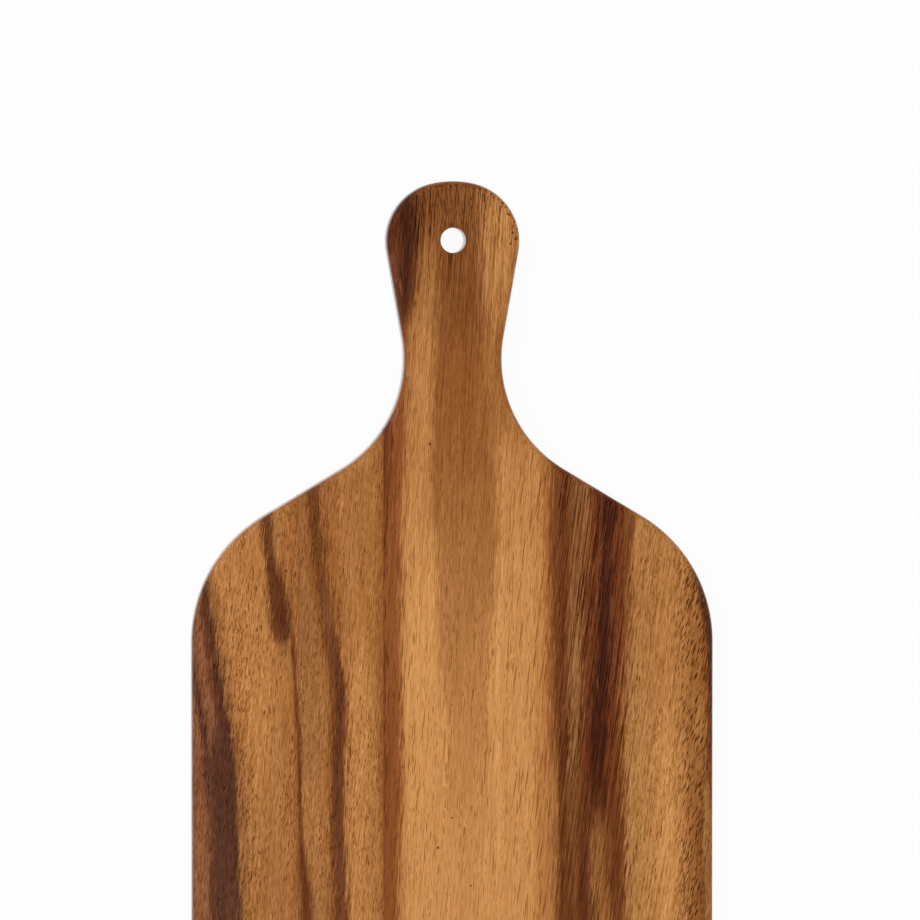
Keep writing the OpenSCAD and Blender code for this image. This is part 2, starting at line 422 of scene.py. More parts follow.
HANDLE_TIMBER = Timber(
    slot="handle_wood",
    tones=[
        (-44, "dark"), (-34, "red_brown"), (-27.6, "red_brown"), (-26.2, "russet"), (-22, "russet"),
        (-20.8, "tan"), (-19, "gold"), (-16, "amber"), (15.6, "amber"), (17.2, "pale_amber"),
        (18.6, "amber"), (31.6, "amber"), (34, "gold"), (36.2, "tan"), (37.8, "brown"), (39.8, "umber"),
        (41.4, "red_brown"), (50, "dark"),
    ],
    drift=[(-120, -1), (-20, -0.8), (40, 0), (100, -0.2), (140, 1.3), (160, 2.3), (180, 3.2), (190, 3.9),
           (200, 5), (210, 6.8), (220, 8), (240, 7.6), (254, 7.4)],
    fan=(-14, 6, 0),
    streaks=[
        Streak("tan", [(-254, -14), (254, -10)], 14, [(100, 0), (124, 0.42), (140, 0.48), (165, 0.4)]),
        Streak("red_brown", -25.4, 4,
               [(-254, 0.2), (0, 0.25), (20, 0.25), (60, 0), (110, 0), (130, 0.3), (150, 0.4), (165, 0.2),
                (180, 0)]),
        Streak("tan", 28, 18, [(90, 0), (122, 0.3), (254, 0.5)]),
        Streak("gold", 37.6, 5.6, [(8, 0.7), (22, 0.4), (40, 0)]),
        Streak("umber", 40, 5, [(50, 0), (76, 0.4)], softness=0.8),
        Streak("brown",
               [(30, 6), (44, 5.4), (60, 3.2), (74, 3), (92, 4.2), (110, 4.8), (140, 4), (160, 4.2),
                (180, 3), (200, 4.4), (220, 2)],
               [(30, 14), (44, 14.6), (60, 17.6), (74, 18.4), (92, 22), (110, 23.6), (140, 26), (160, 25.5),
                (180, 22), (200, 21), (220, 17), (254, 20)],
               [(-254, 0.1), (-60, 0.04), (0, 0.1), (14, 0.16), (40, 0.34), (76, 0.52), (100, 0.64),
                (130, 0.78), (169, 0.97), (254, 1)], softness=0.22),
        Streak("brown", [(-254, -9), (150, -10)], [(-254, 14), (254, 18)],
               [(150, 0), (180, 0.15), (200, 0.35), (222, 0.5), (240, 0.75), (254, 0.95)]),
        Streak("umber", 2, [(-254, 22), (210, 20), (254, 30)],
               [(165, 0), (200, 0.42), (222, 0.62), (240, 0.66)]),
        Streak("pale_amber", -13, 12, [(-254, 0.1), (0, 0.2), (50, 0.6), (90, 0.55), (110, 0)]),
        Streak("tan", 20, [(-254, 14), (254, 18)],
               [(120, 0), (150, 0.4), (170, 0.8), (200, 0.65), (228, 0.5), (254, 0.7)]),
        Streak("brown", 18, 8, [(150, 0), (172, 0.5), (195, 0.3), (215, 0)]),
        Streak("dark", -26, 16, [(180, 0), (205, 0.2), (228, 0.3), (238, 0.55), (246, 0.3), (254, 0)],
               softness=0.8),
        Streak("umber", -12.4, 8, [(218, 0), (230, 0.4), (240, 0.6)], softness=0.9),
        Streak("rosewood", -22, 4, [(190, 0), (206, 0.45), (220, 0.45), (234, 0.1), (254, 0)], softness=0.8),
        Streak("dark", [(-254, -20), (180, -20.2), (200, -18.6), (220, -17.6), (254, -19)],
               [(-254, 4), (190, 4.4), (215, 8), (231, 8.4), (240, 10)],
               [(176, 0), (200, 0.55), (225, 0.8), (240, 0.8), (254, 0.3)], softness=0.7),
        Streak("near_black", [(190, -20), (205, -19), (221, -18), (240, -17.6), (254, -18)],
               [(-254, 5), (190, 4), (220, 4.4), (254, 5)],
               [(186, 0), (204, 0.4), (226, 0.7), (240, 0.7), (250, 0.3), (254, 0)], softness=0.9),
    ],
    marks=[(23.1, 234, 0.5), (24.2, 231.6, 0.6), (24.9, 235.4, 0.45), (22.2, 229.8, 0.45), (-9.2, 152, 0.5),
           (-0.6, 6.6, 0.4), (-6, -5, 0.6), (6.8, -20, 0.4)],
    pores=[
        PoreLayer(spacing=0.7, length=5, size=0.24, depth=0.4, lean=0.07, gather="Streaks",
                  zone=("Y", -254, 410, 450)),
        PoreLayer(spacing=0.6, length=5, size=0.33, depth=0.7, lean=0.06, gather=None,
                  zone=("Y", 254, 12, 34)),
        PoreLayer(spacing=0.8, length=24, size=0.27, depth=0.55, lean=0.14, gather=None,
                  zone=("X", 31, 7, 12)),
        PoreLayer(spacing=0.8, length=18, size=0.25, depth=0.5, lean=0.13, gather=None,
                  zone=("X", -18, 3, 8)),
    ],
    contrast=[(60, 0.12), (110, 0.17), (150, 0.21), (190, 0.28), (220, 0.4), (254, 0.65)],
    threads=(0.9, 0.5, 0.4), ring_tilt=0.22, fibre_lean=0.07, bands=0.05, mottle=0.015, dashes=0.48, seed=23,
)

RIGHT_INNER_TIMBER = Timber(
    slot="right_inner_wood",
    tones=[
        (30, "umber"), (39, "umber"), (40.6, "red_brown"), (42.6, "red_brown"), (44, "umber"),
        (45.4, "moss"), (48.6, "moss"), (50, "red_brown"), (53, "red_brown"), (55, "dark"), (59.4, "dark"),
        (61, "red_brown"), (64.4, "red_brown"), (66, "umber"), (67.6, "brown"), (78, "tan"),
    ],
    drift=[(0, 0), (20, -0.5), (45, -0.4), (60, 0.8), (80, 2), (110, 3), (130, 3.6), (254, 7)],
    fan=(62, 50, 0.35),
    streaks=[
        Streak("dark", 55, 7, [(18, 0), (34, 0.5), (46, 0.6), (56, 0.4), (68, 0)]),
        Streak("near_black",
               [(-254, 48), (-20, 52), (0, 51.6), (20, 54), (30, 54.8), (45, 55.4), (60, 58.6), (80, 60.2),
                (110, 61.4), (130, 63), (254, 70)],
               [(-254, 4), (0, 3), (20, 3.4), (45, 4.4), (60, 3.6), (80, 4), (110, 3.4), (254, 5)],
               [(-254, 0.4), (0, 0.5), (20, 0.52), (45, 0.55), (80, 0.7), (92, 0.7), (110, 0.45),
                (254, 0.4)], softness=0.8),
        Streak("umber", [(-254, 49), (45, 53.4), (60, 55), (80, 56.2), (110, 57.8), (254, 66)], 1,
               [(30, 0), (50, 0.5), (130, 0.6)]),
        Streak("red_brown", [(-254, 54), (45, 59.4), (60, 61), (80, 62), (110, 63.2), (254, 71)], 0.9,
               [(30, 0), (50, 0.6), (130, 0.7)]),
        Streak("umber", 48, 6, [(84, 0), (100, 0.5)]),
        Streak("dark", [(-254, 43.8), (20, 43.6), (45, 42)], 3, [(30, 0.4), (60, 0.2), (80, 0)]),
        Streak("brown", 40.6, 3.4, [(4, 0.7), (20, 0.3), (30, 0)]),
        Streak("red_brown", 47.4, 6, [(8, 0.4), (26, 0)]),
        Streak("umber", 53, 24, [(-10, 0.4), (14, 0.25), (30, 0)]),
        Streak("tan", [(-254, 60), (-34, 58.6), (-20, 57.8), (0, 57), (20, 55.6), (254, 52)],
               [(-34, 6), (0, 5.6), (20, 3)], [(-254, 0.6), (-34, 0.8), (-10, 0.65), (8, 0.25), (22, 0)],
               softness=0.8),
        Streak("tan", [(-254, 52), (80, 51.6), (100, 52.2), (120, 52.6), (140, 52.4), (254, 50)],
               [(-254, 2), (254, 3)], [(78, 0), (100, 0.15), (125, 0.35), (254, 0.5)], softness=0.9),
    ],
    pores=[
        PoreLayer(spacing=0.7, length=4, size=0.26, depth=0.4, lean=0.14),
    ],
    contrast=[(10, 0.36), (40, 0.48)], threads=(1, 0.6, 0.6), ring_tilt=0.3, fibre_lean=0.14, bands=0.2,
    mottle=0.04, dashes=0.2, seed=37,
)

RIGHT_EDGE_TIMBER = Timber(
    slot="right_edge_wood",
    tones=[
        (54, "dark"), (65, "red_brown"), (66.6, "umber"), (68.2, "tan"), (69.6, "olive_tan"),
        (76, "olive_tan"), (80, "gold"), (86, "gold"), (90, "tan"), (95, "tan"), (97.4, "brown"),
        (99.4, "umber"), (102, "dark"), (112, "near_black"),
    ],
    drift=[(-254, -5), (-120, -2), (-34, 0.4), (0, 0), (60, 0.6), (80, 1.4), (110, 2.6), (130, 3.2),
           (254, 8)],
    streaks=[
        Streak("near_black", [(20, 102), (60, 101.2), (76, 99.6), (90, 98), (110, 94.6), (254, 90)], 4,
               [(20, 0.2), (36, 0.8), (84, 0.85), (104, 0.4), (120, 0)]),
        Streak("amber", 84, 13, [(10, 0.6), (40, 0.2), (60, 0)]),
        Streak("brown", [(-254, 95), (60, 95.6), (84, 95), (254, 92)], 10,
               [(-20, 0.6), (20, 0.5), (44, 0.3), (70, 0.3), (84, 0.24), (114, 0)]),
        Streak("tan", 78, 26, [(30, 0), (56, 0.3), (90, 0.35)]),
        Streak("umber", [(-254, 95), (0, 95.8), (20, 97.4), (40, 98.6), (254, 99)], [(-254, 2), (254, 3)],
               [(8, 0.6), (24, 0.4), (44, 0.3), (60, 0)]),
        Streak("olive_tan", [(-254, 100), (-14, 99.6), (10, 98.8), (30, 97.4), (46, 96.6), (254, 95)],
               [(-14, 3), (14, 3.4), (254, 3)], [(-254, 0.5), (10, 0.6), (28, 0.2), (46, 0.4), (60, 0)]),
    ],
    pores=[
        PoreLayer(spacing=0.7, length=4.6, size=0.29, depth=0.52, lean=0.1),
        PoreLayer(spacing=0.6, length=3.6, size=0.28, depth=0.4, lean=0.1),
        PoreLayer(spacing=0.6, length=4.2, size=0.42, depth=0.8, lean=0.36, gather=None,
                  zone=("X", 93, 4, 7.5)),
        PoreLayer(spacing=0.65, length=6, size=0.27, depth=0.45, lean=0.28, zone=("X", 85, 7, 12)),
    ],
    contrast=0.22, threads=(0.8, 1, 0.5), ring_tilt=-0.45, fibre_lean=0.16, bands=0.06, mottle=0.06,
    dashes=0.3, seed=51,
)


class NodeSheet:
    """Places nodes in one node tree and links what feeds them."""

    def __init__(self, tree):
        self.tree = tree
        self.count = 0

    def add(self, kind, feeds=None, **settings):
        """New node with its settings, and with values or sockets fed into its inputs."""
        node = self.tree.nodes.new(kind)
        node.location = (NODE_STEP[0] * (self.count // NODE_ROWS), NODE_STEP[1] * (self.count % NODE_ROWS))
        self.count += 1
        for name, value in settings.items():
            setattr(node, name, value)
        for name, value in (feeds or {}).items():
            self.feed(node.inputs[name], value)
        return node

    def feed(self, socket, value):
        """Link a socket to an input, or write a plain value there."""
        if isinstance(value, bpy.types.NodeSocket):
            self.tree.links.new(value, socket)
        else:
            socket.default_value = value

    def math(self, operation, *values):
        """One sum on plain numbers."""
        return self.add("ShaderNodeMath", dict(enumerate(values)), operation=operation).outputs[0]

    def ranged(self, value, old, new=(0, 1), smooth=False):
        """A value stretched from one range to another and held inside it."""
        feeds = {"Value": value, "From Min": old[0], "From Max": old[1], "To Min": new[0], "To Max": new[1]}
        kind = "SMOOTHSTEP" if smooth else "LINEAR"
        return self.add("ShaderNodeMapRange", feeds, interpolation_type=kind).outputs["Result"]

    def vector(self, x, y, z):
        """Three numbers joined into one place."""
        return self.add("ShaderNodeCombineXYZ", {"X": x, "Y": y, "Z": z}).outputs[0]

    def parts(self, place):
        """The three numbers of a place."""
        return self.add("ShaderNodeSeparateXYZ", {0: place}).outputs

    def noise(self, place, detail, roughness):
        """Soft cloudy noise from 0 to 1."""
        feeds = {"Vector": place, "Scale": 1, "Detail": detail, "Roughness": roughness}
        return self.add("ShaderNodeTexNoise", feeds, noise_dimensions="3D").outputs["Fac"]

    def voronoi(self, place):
        """Distance to the nearest of many scattered points."""
        feeds = {"Vector": place, "Scale": 1, "Randomness": 1}
        node = self.add("ShaderNodeTexVoronoi", feeds, feature="F1", voronoi_dimensions="3D")
        return node.outputs["Distance"]

    def away(self, value, middle):
        """How far a value is from a middle, to either side."""
        return self.math("ABSOLUTE", self.math("SUBTRACT", value, middle))

    def bump(self, depth, height):
        """Normal of a surface raised and sunk by a height."""
        return self.add("ShaderNodeBump", {"Strength": 1, "Distance": depth, "Height": height}).outputs[0]

    def mix(self, factor, first, second, blend="MIX"):
        """Two colours mixed by a mask."""
        node = self.add("ShaderNodeMix", data_type="RGBA", blend_type=blend)
        self.feed(node.inputs["Factor"], factor)
        self.feed(node.inputs[6], first)
        self.feed(node.inputs[7], second)
        return node.outputs[2]

    def group(self, name, build, **feeds):
        """A shared effect, built once for every plank, with its inputs named in plain words."""
        tree = bpy.data.node_groups.get(name) or build(name)
        node = self.add("ShaderNodeGroup", node_tree=tree)
        for label, value in feeds.items():
            self.feed(node.inputs[label.replace("_", " ").capitalize()], value)
        return node.outputs


def new_effect(name, inputs, outputs):
    """An empty shader node group with named sockets."""
    tree = bpy.data.node_groups.new(name, "ShaderNodeTree")
    for label, kind in inputs:
        tree.interface.new_socket(label, in_out="INPUT", socket_type="NodeSocket" + kind)
    for label, kind in outputs:
        tree.interface.new_socket(label, in_out="OUTPUT", socket_type="NodeSocket" + kind)
    sheet = NodeSheet(tree)
    start = sheet.add("NodeGroupInput").outputs
    end = sheet.add("NodeGroupOutput").inputs
    return tree, sheet, start, end


def build_grain_flow(name):
    """Place in the grain: across the growth rings, along the fibres and through the thickness."""
    tree, sheet, start, end = new_effect(
        name,
        [("Place", "Vector"), ("Drift", "Float"), ("Ring tilt", "Float"), ("Seed", "Float")],
        [("Across", "Float"), ("Flow", "Vector")],
    )
    place = sheet.parts(start["Place"])
    depth = sheet.math("SUBTRACT", place["Z"], TOP_MM)
    straight = sheet.math("SUBTRACT", place["X"], start["Drift"])
    across = sheet.math("MULTIPLY_ADD", depth, start["Ring tilt"], straight)
    layer = sheet.math("ADD", place["Z"], start["Seed"])
    sheet.feed(end["Across"], across)
    sheet.feed(end["Flow"], sheet.vector(across, place["Y"], layer))
    return tree


def build_leant_flow(name):
    """Place among fibres that lean to one side of the long axis."""
    tree, sheet, start, end = new_effect(
        name,
        [("Place", "Vector"), ("Lean", "Float"), ("Seed", "Float")],
        [("Flow", "Vector")],
    )
    place = sheet.parts(start["Place"])
    leant = sheet.math("SUBTRACT", place["X"], sheet.math("MULTIPLY", place["Y"], start["Lean"]))
    layer = sheet.math("ADD", place["Z"], start["Seed"])
    sheet.feed(end["Flow"], sheet.vector(leant, place["Y"], layer))
    return tree


def build_fibres(name):
    """Fibres and figure at eight scales, from slow wander to specks and frayed ends."""
    # What each scale follows, its width and length in millimetres, and how many finer scales it carries
    scales = {"Wander": ("Flow", 9, 110, 2), "Bands": ("Flow", 3.2, 90, 2),
              "Streaks": ("Fibre flow", 1, 40, 1), "Lines": ("Fibre flow", 0.36, 24, 0),
              "Specks": ("Fibre flow", 0.36, 3.4, 0), "Fray": ("Fibre flow", 0.45, 6, 0),
              "Curl": ("Fibre flow", 1.6, 9, 1), "Clusters": ("Fibre flow", 4, 25, 1)}
    # How far each fibre is set off along the board from the next, in fibre lengths
    stagger = 0.37
    # Distance through the noise that keeps one scale from repeating another
    apart = 17
    tree, sheet, start, end = new_effect(
        name, [("Flow", "Vector"), ("Fibre flow", "Vector")], [(label, "Float") for label in scales])
    for number, (label, (follows, width, length, finer)) in enumerate(scales.items()):
        place = sheet.parts(start[follows])
        across = sheet.math("DIVIDE", place["X"], width)
        along = sheet.math("MULTIPLY_ADD", across, stagger, sheet.math("DIVIDE", place["Y"], length))
        through = sheet.math("ADD", sheet.math("DIVIDE", place["Z"], width), apart * number)
        spot = sheet.vector(across, along, through)
        sheet.feed(end[label], sheet.noise(spot, detail=finer, roughness=0.6))
    return tree


def build_pores(name):
    """Open pores: short dark dashes along the grain, dots on the end grain."""
    # Smallest and largest pore as shares of the layer's size, and how much of each is fully dark
    smallest, largest = 0.5, 1.3
    heart_share = 0.65
    tree, sheet, start, end = new_effect(
        name,
        [("Flow", "Vector"), ("Spacing", "Float"), ("Length", "Float"), ("Size", "Float")],
        [("Pores", "Float")],
    )
    place = sheet.parts(start["Flow"])
    cell = sheet.vector(
        sheet.math("DIVIDE", place["X"], start["Spacing"]),
        sheet.math("DIVIDE", place["Y"], start["Length"]),
        sheet.math("DIVIDE", place["Z"], start["Spacing"]),
    )
    growth = sheet.ranged(sheet.noise(cell, detail=1, roughness=0.5), NOISE, (smallest, largest))
    size = sheet.math("MULTIPLY", start["Size"], growth)
    heart = sheet.math("MULTIPLY", size, heart_share)
    sheet.feed(end["Pores"], sheet.ranged(sheet.voronoi(cell), (size, heart), smooth=True))
    return tree


def build_pin_mark(name):
    """Mask of one small round pin knot."""
    # Where the knot has faded out and where it is fully dark, in radii
    faded, dark = 1.4, 0.5
    tree, sheet, start, end = new_effect(
        name,
        [("Place", "Vector"), ("Middle", "Vector"), ("Radius", "Float")],
        [("Mask", "Float")],
    )
    flat = sheet.add("ShaderNodeVectorMath", {0: start["Place"], 1: (1, 1, 0)}, operation="MULTIPLY")
    away = sheet.add("ShaderNodeVectorMath", {0: flat.outputs[0], 1: start["Middle"]}, operation="DISTANCE")
    rim = sheet.math("MULTIPLY", start["Radius"], faded)
    heart = sheet.math("MULTIPLY", start["Radius"], dark)
    sheet.feed(end["Mask"], sheet.ranged(away.outputs["Value"], (rim, heart), smooth=True))
    return tree


def build_streak(name):
    """Mask of one streak of figure round its middle line."""
    inputs = ("Across", "Middle", "Width", "Softness", "Strength")
    tree, sheet, start, end = new_effect(name, [(label, "Float") for label in inputs], [("Mask", "Float")])
    half = sheet.math("DIVIDE", start["Width"], 2)
    fade = sheet.math("MULTIPLY", half, start["Softness"])
    outer = sheet.math("ADD", half, fade)
    inner = sheet.math("SUBTRACT", half, fade)
    mask = sheet.ranged(sheet.away(start["Across"], start["Middle"]), (outer, inner), smooth=True)
    sheet.feed(end["Mask"], sheet.math("MULTIPLY", mask, start["Strength"]))
    return tree


def build_facing(name, axis, none, full):
    """Mask by how squarely a face looks along one axis, from where there is none to where it is full."""
    tree, sheet, start, end = new_effect(name, [("Normal", "Vector")], [("Mask", "Float")])
    facing = sheet.math("ABSOLUTE", sheet.parts(start["Normal"])[axis])
    sheet.feed(end["Mask"], sheet.ranged(facing, (none, full), smooth=True))
    return tree


def build_side_face(name):
    """Mask of the sides, where the surface no longer looks up or down."""
    return build_facing(name, "Z", none=0.75, full=0.3)


def build_end_grain(name):
    """Mask of the faces that cut across the fibres, strongest square to them."""
    return build_facing(name, "Y", none=0.35, full=0.95)


def height_curve(sheet, along, points):
    """A value along the board: a plain number, or a curve through heights and values, held to the ends."""
    if not isinstance(points, list):
        return points
    if points[0][0] > FOOT_MM:
        points = [(FOOT_MM, points[0][1]), *points]
    if points[-1][0] < TIP_MM:
        points = [*points, (TIP_MM, points[-1][1])]
    values = [value for _, value in points]
    low = min(values)
    high = max(values)
    node = sheet.add("ShaderNodeFloatCurve", {"Value": sheet.ranged(along, (FOOT_MM, TIP_MM))})
    curve = node.mapping.curves[0].points
    span = TIP_MM - FOOT_MM
    spots = [((height - FOOT_MM) / span, (value - low) / (high - low)) for height, value in points]
    curve[0].location = spots[0]
    curve[1].location = spots[-1]
    for spot in spots[1:-1]:
        curve.new(*spot)
    for point in curve:
        point.handle_type = "AUTO_CLAMPED"
    node.mapping.update()
    return sheet.ranged(node.outputs[0], (0, 1), (low, high))


def tone_ramp(sheet, across, tones, palette):
    """Colour across a plank, through tones given by place and name."""
    low = tones[0][0]
    high = tones[-1][0]
    node = sheet.add("ShaderNodeValToRGB", {"Fac": sheet.ranged(across, (low, high))})
    stops = node.color_ramp.elements
    while len(stops) < len(tones):
        stops.new(0.5)
    for stop, (place, name) in zip(stops, tones):
        stop.position = (place - low) / (high - low)
        stop.color = (*getattr(palette, name), 1)
    return node.outputs["Color"]


def blank_sheet(owner, output):
    """An empty node sheet for a material or a world, and the socket that its shader feeds."""
    owner.use_nodes = True
    owner.node_tree.nodes.clear()
    sheet = NodeSheet(owner.node_tree)
    return sheet, sheet.add(output).inputs["Surface"]


def new_finish(name):
    """An empty material, its node sheet and the socket that its shader feeds."""
    material = bpy.data.materials.new(name)
    return material, *blank_sheet(material, "ShaderNodeOutputMaterial")


def board_place(sheet):
    """Place on the board in millimetres, and the direction that the surface faces."""
    coordinates = sheet.add("ShaderNodeTexCoord").outputs
    feeds = {0: coordinates["Object"], "Scale": PER_METRE}
    place = sheet.add("ShaderNodeVectorMath", feeds, operation="SCALE").outputs[0]
    return place, coordinates["Normal"]


def figure_colour(sheet, timber, palette, spots, flow, fibres):
    """Colour of the plank's figure: tones across it, then streaks that start and end inside it."""
    wander = sheet.ranged(fibres["Wander"], NOISE_WIDE, (-WANDER, WANDER))
    feather = sheet.ranged(fibres["Streaks"], NOISE_WIDE, (-FEATHER, FEATHER))
    frayed = sheet.ranged(fibres["Fray"], FRAY_NOISE, FRAY)
    moved = sheet.math("ADD", sheet.math("ADD", wander, feather), frayed)
    colour = tone_ramp(sheet, sheet.math("ADD", flow["Across"], moved), timber.tones, palette)
    for streak in timber.streaks:
        mask = sheet.group(
            "Figure streak", build_streak,
            across=sheet.math("MULTIPLY_ADD", moved, streak.wander, spots["X"]),
            middle=height_curve(sheet, spots["Y"], streak.middle),
            width=height_curve(sheet, spots["Y"], streak.width), softness=streak.softness,
            strength=height_curve(sheet, spots["Y"], streak.strength))["Mask"]
        colour = sheet.mix(mask, colour, (*getattr(palette, streak.tone), 1))
    return colour


def open_holes(sheet, timber, place, spots, flow, fibres):
    """Mask of the fine dashes along the vessel lines and of the open pores, layer by layer."""
    zones = {"X": spots["X"], "Y": spots["Y"], "Across": flow["Across"]}
    vessels = sheet.ranged(fibres["Lines"], VESSEL_LINE, (0, timber.dashes))
    holes = sheet.math("MULTIPLY", vessels, sheet.ranged(fibres["Specks"], VESSEL_DASH))
    for number, layer in enumerate(timber.pores):
        along = sheet.group("Leant flow", build_leant_flow, place=place, lean=layer.lean,
                            seed=timber.seed + PORE_SEED_STEP * number)["Flow"]
        pores = sheet.group("Open pores", build_pores, flow=along, spacing=layer.spacing,
                            length=layer.length, size=layer.size)["Pores"]
        shown = layer.depth
        if layer.zone:
            axis, middle, full, gone = layer.zone
            shown = sheet.ranged(sheet.away(zones[axis], middle), (gone, full), (0, layer.depth))
        if layer.gather:
            gathered = sheet.ranged(fibres[layer.gather], GATHER_NOISE, (FAINTEST, 1))
            pores = sheet.math("MULTIPLY", pores, gathered)
        holes = sheet.math("MAXIMUM", holes, sheet.math("MULTIPLY", pores, shown))
    return holes


def plank_finish(timber):
    """Oiled acacia with the figure of one plank."""
    palette = bpy.context.scene.wood_tones
    grain = bpy.context.scene.grain_settings
    material, sheet, surface = new_finish(timber.slot)
    shader = sheet.add("ShaderNodeBsdfPrincipled", {"Specular IOR Level": grain.specular,
                                                    "Coat Roughness": grain.polish_roughness})
    sheet.feed(surface, shader.outputs[0])

    # The figure drifts sideways along the board, and the fibres lean
    place, normal = board_place(sheet)
    spots = sheet.parts(place)
    drift = height_curve(sheet, spots["Y"], timber.drift)
    if timber.fan:
        full, gone, least = timber.fan
        drift = sheet.math("MULTIPLY", drift, sheet.ranged(spots["X"], (full, gone), (1, least)))
    flow = sheet.group("Grain flow", build_grain_flow, place=place, drift=drift,
                       ring_tilt=timber.ring_tilt, seed=timber.seed)
    leant = sheet.group("Leant flow", build_leant_flow, place=place, lean=timber.fibre_lean,
                        seed=timber.seed)["Flow"]
    fibres = sheet.group("Long fibres", build_fibres, flow=flow["Flow"], fibre_flow=leant)
    colour = figure_colour(sheet, timber, palette, spots, flow, fibres)

    # Growth bands, curl, fibres and open pores lighten and darken the wood
    bands = sheet.ranged(fibres["Bands"], NOISE, (1 - timber.bands, 1 + timber.bands))
    curl = sheet.ranged(fibres["Curl"], NOISE, (1 - timber.mottle, 1 + timber.mottle))
    swing = 0
    for scale, share in zip(("Lines", "Specks", "Streaks"), timber.threads):
        swing = sheet.math("ADD", swing, sheet.ranged(fibres[scale], NOISE, (-share, share)))
    threads = sheet.math("MULTIPLY_ADD", swing, height_curve(sheet, spots["Y"], timber.contrast), grain.lift)
    holes = open_holes(sheet, timber, place, spots, flow, fibres)
    light = sheet.math("MULTIPLY", sheet.math("MULTIPLY", bands, curl), threads)
    light = sheet.math("MULTIPLY", light, sheet.math("SUBTRACT", 1, holes))

    # Where the grain darkens, it also turns redder
    tint = sheet.vector(light, sheet.math("POWER", light, grain.green_fall),
                        sheet.math("POWER", light, grain.blue_fall))
    colour = sheet.mix(1, colour, tint, "MULTIPLY")
    for x, y, radius in timber.marks:
        pin = sheet.group("Pin knot", build_pin_mark, place=place, middle=(x, y, 0),
                          radius=radius)["Mask"]
        colour = sheet.mix(sheet.math("MULTIPLY", pin, PIN_DEPTH), colour, (*palette.near_black, 1))

    # End grain drinks more oil
    ends = sheet.group("End grain", build_end_grain, normal=normal)["Mask"]
    colour = sheet.mix(sheet.math("MULTIPLY", ends, grain.end_darkness), colour, (*palette.umber, 1))
    sheet.feed(shader.inputs["Base Color"], colour)

    # Oil leaves the fibres satin and the pores dull, and hands polish the sides
    sides = sheet.group("Side face", build_side_face, normal=normal)["Mask"]
    sheet.feed(shader.inputs["Coat Weight"], sheet.math("MULTIPLY", sides, grain.side_polish))
    rough = sheet.ranged(sides, (0, 1), (grain.roughness, grain.side_roughness))
    rough = sheet.math("MULTIPLY_ADD", swing, FIBRE_SMOOTHING, rough)
    sheet.feed(shader.inputs["Roughness"], sheet.math("MULTIPLY_ADD", holes, PORE_DULLING, rough))
    height = sheet.math("MULTIPLY_ADD", swing, FIBRE_HEIGHT, sheet.math("MULTIPLY", holes, -1))
    sheet.feed(shader.inputs["Normal"], sheet.bump(grain.bump_depth, height))
    return material


def glue_finish():
    """Cured wood glue, sanded flush, with sanding dust pressed into it."""
    palette = bpy.context.scene.wood_tones
    grain = bpy.context.scene.grain_settings
    material, sheet, surface = new_finish("cured_glue")
    shader = sheet.add("ShaderNodeBsdfPrincipled", {"Specular IOR Level": grain.specular})
    sheet.feed(surface, shader.outputs[0])
    place, _ = board_place(sheet)
    dust = sheet.noise(place, detail=4, roughness=0.6)
    colour = sheet.mix(sheet.ranged(dust, GLUE_DUST), (*palette.red_brown, 1), (*palette.brown, 1))
    sheet.feed(shader.inputs["Base Color"], colour)
    sheet.feed(shader.inputs["Roughness"], sheet.ranged(dust, NOISE, GLUE_ROUGHNESS))
    sheet.feed(shader.inputs["Normal"], sheet.bump(grain.bump_depth, dust))
    return material


def deselect_all():
    """Leave nothing selected, in object mode."""
    if bpy.context.object and bpy.context.object.mode != "OBJECT":
        bpy.ops.object.mode_set(mode="OBJECT")
    bpy.ops.object.select_all(action="DESELECT")


def make_active(piece):
    """Select one piece alone, in object mode."""
    deselect_all()
    piece.select_set(True)
    bpy.context.view_layer.objects.active = piece


def apply_modifier(piece, kind, **settings):
    """Add a modifier to the active piece, set it up and apply it."""
    bpy.ops.object.modifier_add(type=kind)
    modifier = piece.modifiers[-1]
    for name, value in settings.items():
        setattr(modifier, name, value)
    bpy.ops.object.modifier_apply(modifier=modifier.name)


def round_edges(piece, wanted, radius, segments):
    """Round over, in edit mode, the edges of a piece whose two ends both pass a test."""
    bpy.ops.mesh.select_mode(type="EDGE")
    bpy.ops.mesh.select_all(action="DESELECT")
    bpy.ops.object.mode_set(mode="OBJECT")
    points = piece.data.vertices
    for edge in piece.data.edges:
        edge.select = all(wanted(points[index].co) for index in edge.vertices)
    bpy.ops.object.mode_set(mode="EDIT")
    bpy.ops.mesh.bevel(offset=radius, segments=segments, profile=0.5, affect="EDGES", clamp_overlap=False)


def draw_line(start, end):
    """Extrude the outline's last point along a straight line."""
    step = (end[0] - start[0], end[1] - start[1], 0)
    bpy.ops.mesh.extrude_region_move(TRANSFORM_OT_translate={"value": step})


def draw_arc(shape, centre, radius, turn):
    """Spin the outline's last point round a centre; a positive turn is clockwise from above."""
    steps = max(2, round(radius * abs(turn) / shape.arc_step))
    bpy.ops.mesh.spin(steps=steps, angle=turn, center=(centre[0], centre[1], 0), axis=(0, 0, 1))


def round_from(centre, radius, angle):
    """Point on an arc."""
    return Vector((centre[0] + radius * math.cos(angle), centre[1] + radius * math.sin(angle)))


